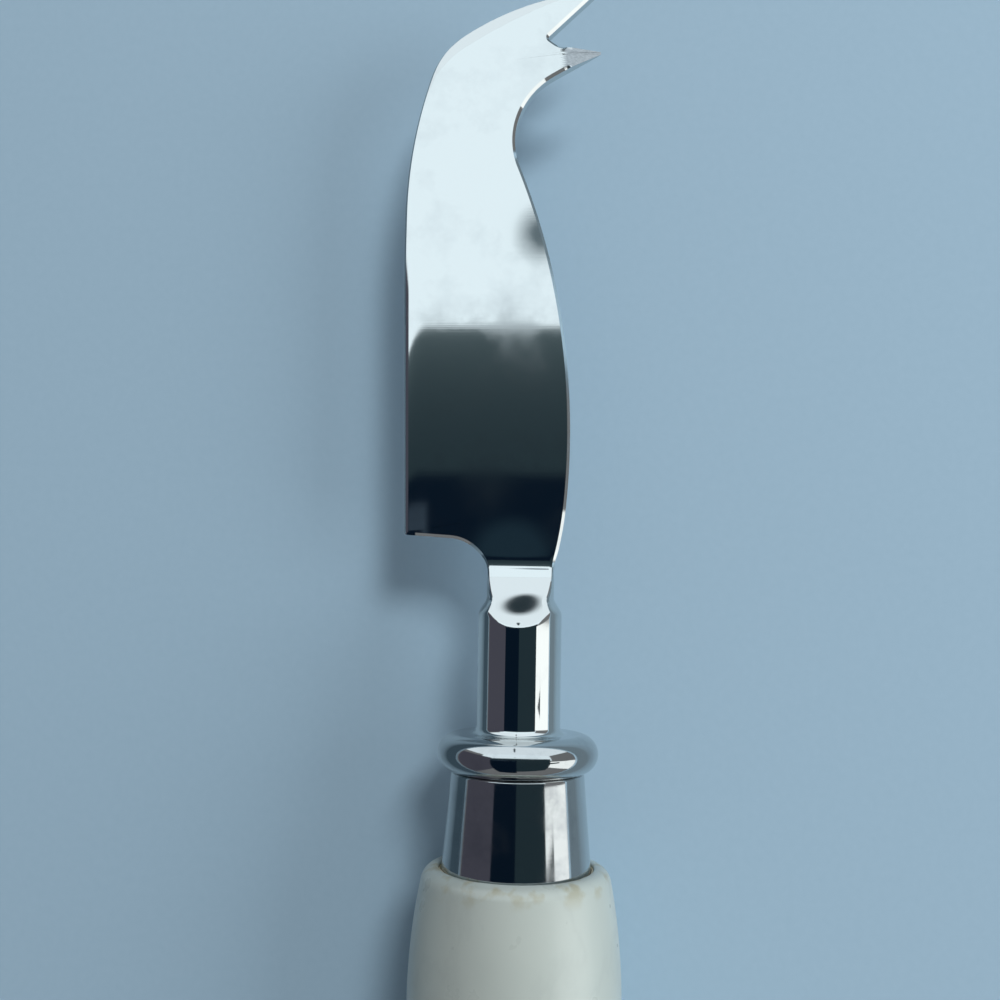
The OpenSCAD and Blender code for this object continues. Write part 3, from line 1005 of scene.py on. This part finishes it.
@dataclass
class Ferrule:
    """The tapered ferrule with its rounded edges and the spigot that centres it."""

    axes: KnifeAxes
    top: float = 11.4
    top_radius: float = 8.3
    base: float = -1.2
    base_radius: float = 9.3
    edge_round: float = 0.3
    spigot_radius: float = 6.5
    spigot_end: float = -6.7
    bore_radius: float = 3.05

    def build(self) -> bpy.types.Object:
        """Builds the ferrule: bore, rounded top edge, taper, base and spigot."""
        edge = self.edge_round
        rounded = arc((self.top_radius - edge, self.top - edge), edge, 90, 4, 9)
        profile = drawn(
            (self.bore_radius, self.spigot_end),
            (self.bore_radius, self.top),
            rounded,
            (self.base_radius, self.base + 0.1),
            (self.base_radius - 0.1, self.base),
            (self.spigot_radius, self.base),
            (self.spigot_radius, self.spigot_end),
            step=0.5,
        )
        return skin("ferrule_turned", turned(self.axes, profile, 224), True, 40.0)


@dataclass
class StoneHandle:
    """The white handle: rounded mouth, slow swelling, straight barrel, domed butt and a
    blind bore."""

    axes: KnifeAxes
    recess_radius: float = 9.55
    lip_round: float = 0.3
    shoulder_round: float = 1.9
    swell_radius: float = 75.0
    barrel_length: float = 30.0
    butt_round: float = 11.0
    dome_radius: float = 26.0
    recess_floor: float = -1.45
    socket_radius: float = 6.75
    socket_floor: float = -6.95
    bore_radius: float = 4.5
    bore_floor: float = -48.95
    drill_point: float = 2.7

    def outside(self) -> np.ndarray:
        """Outer profile: lip, shoulder, swelling and barrel, then the butt's two arcs.

        The dome's centre lies on the axis where its circle holds the turn's circle from
        inside: the root of the squared difference of radii minus the squared offset.
        """
        side = Outline(
            (self.recess_radius, -self.lip_round),
            90.0,
            [
                Run(self.lip_round, -90),
                Run(self.shoulder_round, -79),
                Run(self.swell_radius, -10.65),
                Run(0, 0, self.barrel_length),
            ],
        )
        heading = side.heading[-1]
        centre = side.corner[-1] - self.butt_round * left_of(heading)
        dome = centre[1] + np.sqrt((self.dome_radius - self.butt_round) ** 2 - centre[0] ** 2)
        meet = np.degrees(np.arctan2(centre[1] - dome, centre[0]))
        steps = (9, 30, 40, 60)
        places = [np.linspace(run, run + 1, count)[min(run, 1) :] for run, count in enumerate(steps)]
        points, _ = side.at(np.concatenate(places))
        turn = arc(tuple(centre), self.butt_round, heading + 90.0, meet, 46)[1:]
        butt = arc((0.0, dome), self.dome_radius, meet, -90.0, 16)[1:]
        return np.concatenate([points, turn, butt])

    def build(self) -> bpy.types.Object:
        """Builds the handle as one closed profile, from the bore's point to the butt."""
        inside = drawn(
            (0.0, self.bore_floor - self.drill_point),
            (self.bore_radius, self.bore_floor),
            (self.bore_radius, self.socket_floor),
            (self.socket_radius, self.socket_floor),
            (self.socket_radius, self.recess_floor),
            (self.recess_radius, self.recess_floor),
            step=3.0,
        )
        profile = np.concatenate([inside, self.outside()])
        profile[-1, 0] = 0.0
        return skin("handle_stone", turned(self.axes, profile, 240), False, 40.0)


@dataclass
class CementFill:
    """The cement round the tang and the ferrule, with an uneven bead in the mouth.

    It fills what the handle, the ferrule and the tang leave free, less a clearance.
    """

    axes: KnifeAxes
    handle: StoneHandle
    ferrule: Ferrule
    blade: ForgedBlade
    clearance: float = 0.03
    bead_top: float = -0.35
    unevenness: float = 0.06
    segments: int = 200

    def build(self) -> bpy.types.Object:
        """Builds the fill as one closed profile and lets the bead's top wander.

        The bead rises and falls round the mouth with a sum of three sines of the turn.
        """
        handle, ferrule, gap = self.handle, self.ferrule, self.clearance
        radii = (handle.bore_radius, handle.socket_radius, handle.recess_radius)
        floors = (handle.bore_floor, handle.socket_floor, handle.recess_floor)
        bore, socket, recess = (radius - gap for radius in radii)
        bore_floor, socket_floor, recess_floor = (floor + gap for floor in floors)
        cone, spigot, tang = (r + gap for r in (ferrule.base_radius, ferrule.spigot_radius, self.blade.tang_radius))
        base, spigot_end, tang_end = (s - gap for s in (ferrule.base, ferrule.spigot_end, self.blade.tang_end))
        profile = drawn(
            (0.0, bore_floor - handle.drill_point),
            (bore, bore_floor),
            (bore, socket_floor),
            (socket, socket_floor),
            (socket, recess_floor),
            (recess, recess_floor),
            (recess, self.bead_top),
            (cone, self.bead_top),
            (cone, base),
            (spigot, base),
            (spigot, spigot_end),
            (tang, spigot_end),
            (tang, tang_end),
            (0.0, tang_end),
            step=1.5,
        )
        grid = turned(self.axes, profile, self.segments)
        turn = np.linspace(0.0, 2.0 * np.pi, self.segments, endpoint=False)
        wander = np.sin(5 * turn + 0.6) + 0.7 * np.sin(11 * turn + 2.0) + 0.5 * np.sin(23 * turn)
        top = np.isclose(profile[:, 1], self.bead_top)[:, None]
        grid[..., 1] += top * wander * self.unevenness * MILLIMETRE
        return skin("cement_fill", grid, False, 50.0)


@dataclass(frozen=True)
class Card:
    """A card that only reflections see: a window, a wall or the dark of the room.

    Args:
        name: Name of the card.
        centre: Its middle, in metres from the handle's mouth.
        plane: The axes that its first and its second side follow.
        half: Half of both sides, in metres.
        glow: The light that it gives.
        far_glow: The light at the far end of its second side, if that differs.
        soft: Share of the card over which its rim fades out.
        oval: Whether it is an oval rather than a rectangle.
        blend_power: Power of the distance by which the light changes to far_glow.
    """

    name: str
    centre: Colour
    plane: str
    half: Span
    glow: Colour
    far_glow: Colour | None = None
    soft: float = 0.03
    oval: bool = False
    blend_power: float = 30.0

    def material(self) -> bpy.types.Material:
        """Makes the light of the card, which fades out towards its rim.

        Returns:
            A material that mixes emission with transparency by the distance from the rim,
            taken from the card's own coordinates, which run from 0 to 1.
        """
        material, nodes = new_material(self.name)
        place = nodes.add("ShaderNodeTexCoord").outputs["UV"]
        axis = nodes.add("ShaderNodeSeparateXYZ", Vector=place)
        sides = [nodes.maths("ABSOLUTE", nodes.span(axis.outputs[k], (0.0, 1.0), (-1.0, 1.0))) for k in (0, 1)]
        if self.oval:
            squares = [nodes.times(side, side) for side in sides]
            reach = nodes.maths("SQRT", nodes.plus(*squares))
        else:
            reach = nodes.maths("MAXIMUM", *sides)
        inside = nodes.span(reach, (1.0, 1.0 - self.soft), (0.0, 1.0))
        along = nodes.maths("POWER", axis.outputs[1], self.blend_power)
        light = nodes.add("ShaderNodeEmission", Color=nodes.blend(along, self.glow, self.far_glow or self.glow))
        clear = nodes.add("ShaderNodeBsdfTransparent")
        mix = nodes.add("ShaderNodeMixShader", Fac=inside, _1=clear.outputs["BSDF"], _2=light.outputs["Emission"])
        nodes.add("ShaderNodeOutputMaterial", Surface=mix.outputs["Shader"])
        return material

    def hang(self, axes: KnifeAxes) -> None:
        """Makes the card and hides it from all but reflections.

        Args:
            axes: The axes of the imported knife.
        """
        signs = ((-1, -1), (1, -1), (1, 1), (-1, 1))
        middle = axes.studio(self.centre)
        first, second = (reach * np.eye(3)["XYZ".index(axis)] for reach, axis in zip(self.half, self.plane))
        corners = [middle + a * first + b * second for a, b in signs]
        mesh = bpy.data.meshes.new(self.name)
        mesh.from_pydata([tuple(corner) for corner in corners], [], [(0, 1, 2, 3)])
        mesh.uv_layers.new(name="card").data.foreach_set("uv", [(sign + 1) / 2 for pair in signs for sign in pair])
        card = placed(self.name, mesh)
        mesh.materials.append(self.material())
        for ray in ("camera", "diffuse", "transmission", "volume_scatter", "shadow"):
            setattr(card, f"visible_{ray}", False)


@dataclass
class Studio:
    """The floor, the lights, the cards that only reflections see, and the camera.

    Its places are in metres from the handle's mouth.
    """

    axes: KnifeAxes
    camera_place: Colour = (0.006154, 0.032473, 0.139418)
    camera_turn: Colour = (5.306, 3.578, 1.035)
    camera_lens: float = 39.6
    floor_side: float = 3.2
    lamp_aim: Colour = (0.0, 0.013, 0.0)
    cards: tuple[Card, ...] = (
        Card("ceiling", (0.0, 0.663, 1.287), "XY", (1.6, 0.51), (1.06, 1.21, 1.3)),
        Card("far_wall", (0.0, 1.163, 0.637), "XZ", (1.6, 0.66), (1.0, 1.12, 1.2)),
        Card("window", (1.249, -0.437, 0.557), "YZ", (0.45, 0.57), (1.35, 1.4, 1.4)),
        Card("left_wall", (-0.901, -0.337, 0.647), "YZ", (0.85, 0.64), (0.075, 0.075, 0.1)),
        Card(
            "dim_overhead", (0.119, -0.297, 0.587), "XY", (0.55, 0.515), (0.02, 0.037, 0.047),
            far_glow=(0.09, 0.13, 0.145), soft=0.008,
        ),
        Card("dim_right", (0.899, -0.132, 0.588), "XY", (0.25, 0.055), (0.02, 0.037, 0.047)),
        Card("dark_overhead", (-0.205, -0.534, 0.577), "XY", (0.216, 0.653), (0.003, 0.009, 0.02), soft=0.012),
        Card("low_glimmer", (-0.031, 0.063, 0.567), "XY", (0.03, 0.026), (0.013, 0.03, 0.046), soft=0.4, oval=True),
        Card("side_glimmer", (-0.26, 0.079, 0.567), "XY", (0.175, 0.017), (0.035, 0.055, 0.08), soft=0.3),
        # A glowing oval that only reflections see: a painted reflection that lays a paler patch on the blade's dark
        # reflection.
        Card("pale_patch_reflection", (-0.016, 0.28, 0.587), "XY", (0.02, 0.0235), (0.13, 0.18, 0.21), soft=0.7, oval=True),
        Card("dark_pole", (-0.0455, 1.013, 0.44), "XZ", (0.023, 0.33), (0.02, 0.035, 0.045), soft=0.35, oval=True),
        Card("left_shade", (-0.135, 0.03, -0.0125), "XY", (0.115, 0.25), (0.055, 0.09, 0.12), soft=0.2),
        Card("right_shade", (0.135, 0.03, -0.0125), "XY", (0.115, 0.25), (0.2, 0.27, 0.32), soft=0.2),
    )

    def camera(self) -> None:
        """Sets the camera over the shank, fitted to the photographed outline of the knife."""
        data = bpy.data.cameras.new("camera")
        data.sensor_width = 36.0
        data.lens = self.camera_lens
        data.clip_start = 0.005
        camera = placed("camera", data)
        camera.location = self.axes.studio(self.camera_place)
        camera.rotation_euler = tuple(np.radians(self.camera_turn))
        bpy.context.scene.camera = camera

    def floor(self) -> None:
        """Lays a wide pale floor under the knife."""
        side = np.array([-0.5, 0.5]) * self.floor_side
        across, along = np.meshgrid(side, side)
        corners = np.stack([across, along, 0 * across], axis=-1).reshape(-1, 3)
        mesh = bpy.data.meshes.new("floor")
        mesh.from_pydata(corners.tolist(), [], [(0, 1, 3, 2)])
        floor = placed("floor", mesh)
        material = bpy.data.materials.new("floor_pale")
        material.use_nodes = True
        nodes = Nodes(material.node_tree)
        shader = material.node_tree.nodes["Principled BSDF"]
        place = nodes.add("ShaderNodeTexCoord").outputs["Object"]
        colour = nodes.blend(nodes.noise(place, 900.0, 3.0), (0.345, 0.505, 0.64), (0.375, 0.535, 0.67))
        material.node_tree.links.new(colour, shader.inputs["Base Color"])
        shader.inputs["Roughness"].default_value = 0.85
        mesh.materials.append(material)

    def lamp(self, name: str, centre: Colour, size: float, power: float, colour: Colour) -> None:
        """Hangs a square soft lamp that points at the knife, and that reflections miss.

        Args:
            name: Name of the lamp.
            centre: Its place, in metres from the handle's mouth.
            size: Its side in metres.
            power: Its power in watts.
            colour: Its colour.
        """
        data = bpy.data.lights.new(name, "AREA")
        data.size = size
        data.energy = power
        data.color = colour
        lamp = placed(name, data)
        lamp.location = self.axes.studio(centre)
        lamp.rotation_euler = (Vector(centre) - Vector(self.lamp_aim)).to_track_quat("Z", "Y").to_euler()
        lamp.visible_glossy = False

    def build(self) -> None:
        """Sets up the whole studio."""
        scene = bpy.context.scene
        scene.view_settings.view_transform = "Standard"
        world = bpy.data.worlds.new("studio")
        scene.world = world
        world.use_nodes = True
        sky = world.node_tree.nodes["Background"]
        sky.inputs["Color"].default_value = (0.93, 0.96, 1.0, 1.0)
        sky.inputs["Strength"].default_value = 0.22
        self.camera()
        self.floor()
        self.lamp("key_lamp", (0.34, 0.563, 0.887), 0.3, 5.4, (1.0, 1.0, 0.98))
        self.lamp("side_lamp", (0.8, -0.037, 0.407), 0.6, 4.4, (0.97, 1.0, 1.0))
        for card in self.cards:
            card.hang(self.axes)
        LOG.info("studio ready with %d cards", len(self.cards))


def main() -> None:
    """Builds the knife piece by piece."""
    logging.basicConfig(level=logging.INFO, format="%(name)s: %(message)s")
    axes = KnifeAxes.from_frame(Ferrule.spigot_end)
    Studio(axes).build()
    blade_steel = PolishedSteel(
        "steel_blade",
        colour=(0.69, 0.71, 0.7),
        dull=(0.58, 0.6, 0.6),
        gloss=(0.04, 0.12),
        smudge_scale=90.0,
        scratch_turn=(0.0, 0.0, 28.0),
        line_pitch=2.0,
        line_depth=4e-7,
        wave_depth=4e-6,
        ground=True,
    )
    ring_steel = PolishedSteel(
        "steel_ring",
        colour=(0.58, 0.6, 0.6),
        dull=(0.44, 0.46, 0.47),
        gloss=(0.06, 0.18),
        smudge_scale=220.0,
        scratch_turn=(0.0, 0.0, 70.0),
        line_pitch=6.0,
        line_depth=8e-7,
        wave_depth=2e-6,
    )
    ferrule_steel = PolishedSteel(
        "steel_ferrule",
        colour=(0.58, 0.6, 0.6),
        dull=(0.42, 0.44, 0.46),
        gloss=(0.07, 0.2),
        smudge_scale=170.0,
        scratch_turn=(0.0, 0.0, 80.0),
        line_pitch=8.0,
        line_depth=1.2e-6,
        wave_depth=3e-6,
    )
    stone = WhiteStone(
        "stone_white",
        white=(0.5, 0.56, 0.53),
        cloud=(0.43, 0.49, 0.47),
        vein=(0.36, 0.41, 0.4),
        stain=(0.38, 0.36, 0.24),
        mouth=axes.mouth,
    )
    cement = OchreCement("cement_ochre", pale=(0.6, 0.57, 0.48), ochre=(0.42, 0.36, 0.2), pit_dark=(0.12, 0.11, 0.09))
    blade, ferrule, handle = ForgedBlade(axes), Ferrule(axes), StoneHandle(axes)
    dress(blade.build(), "blade", blade_steel)
    dress(BeadRing(axes).build(), "bead_ring", ring_steel)
    dress(ferrule.build(), "ferrule", ferrule_steel)
    dress(handle.build(), "handle", stone)
    dress(CementFill(axes, handle, ferrule, blade).build(), "cement", cement)


if __name__ == "__main__":
    main()
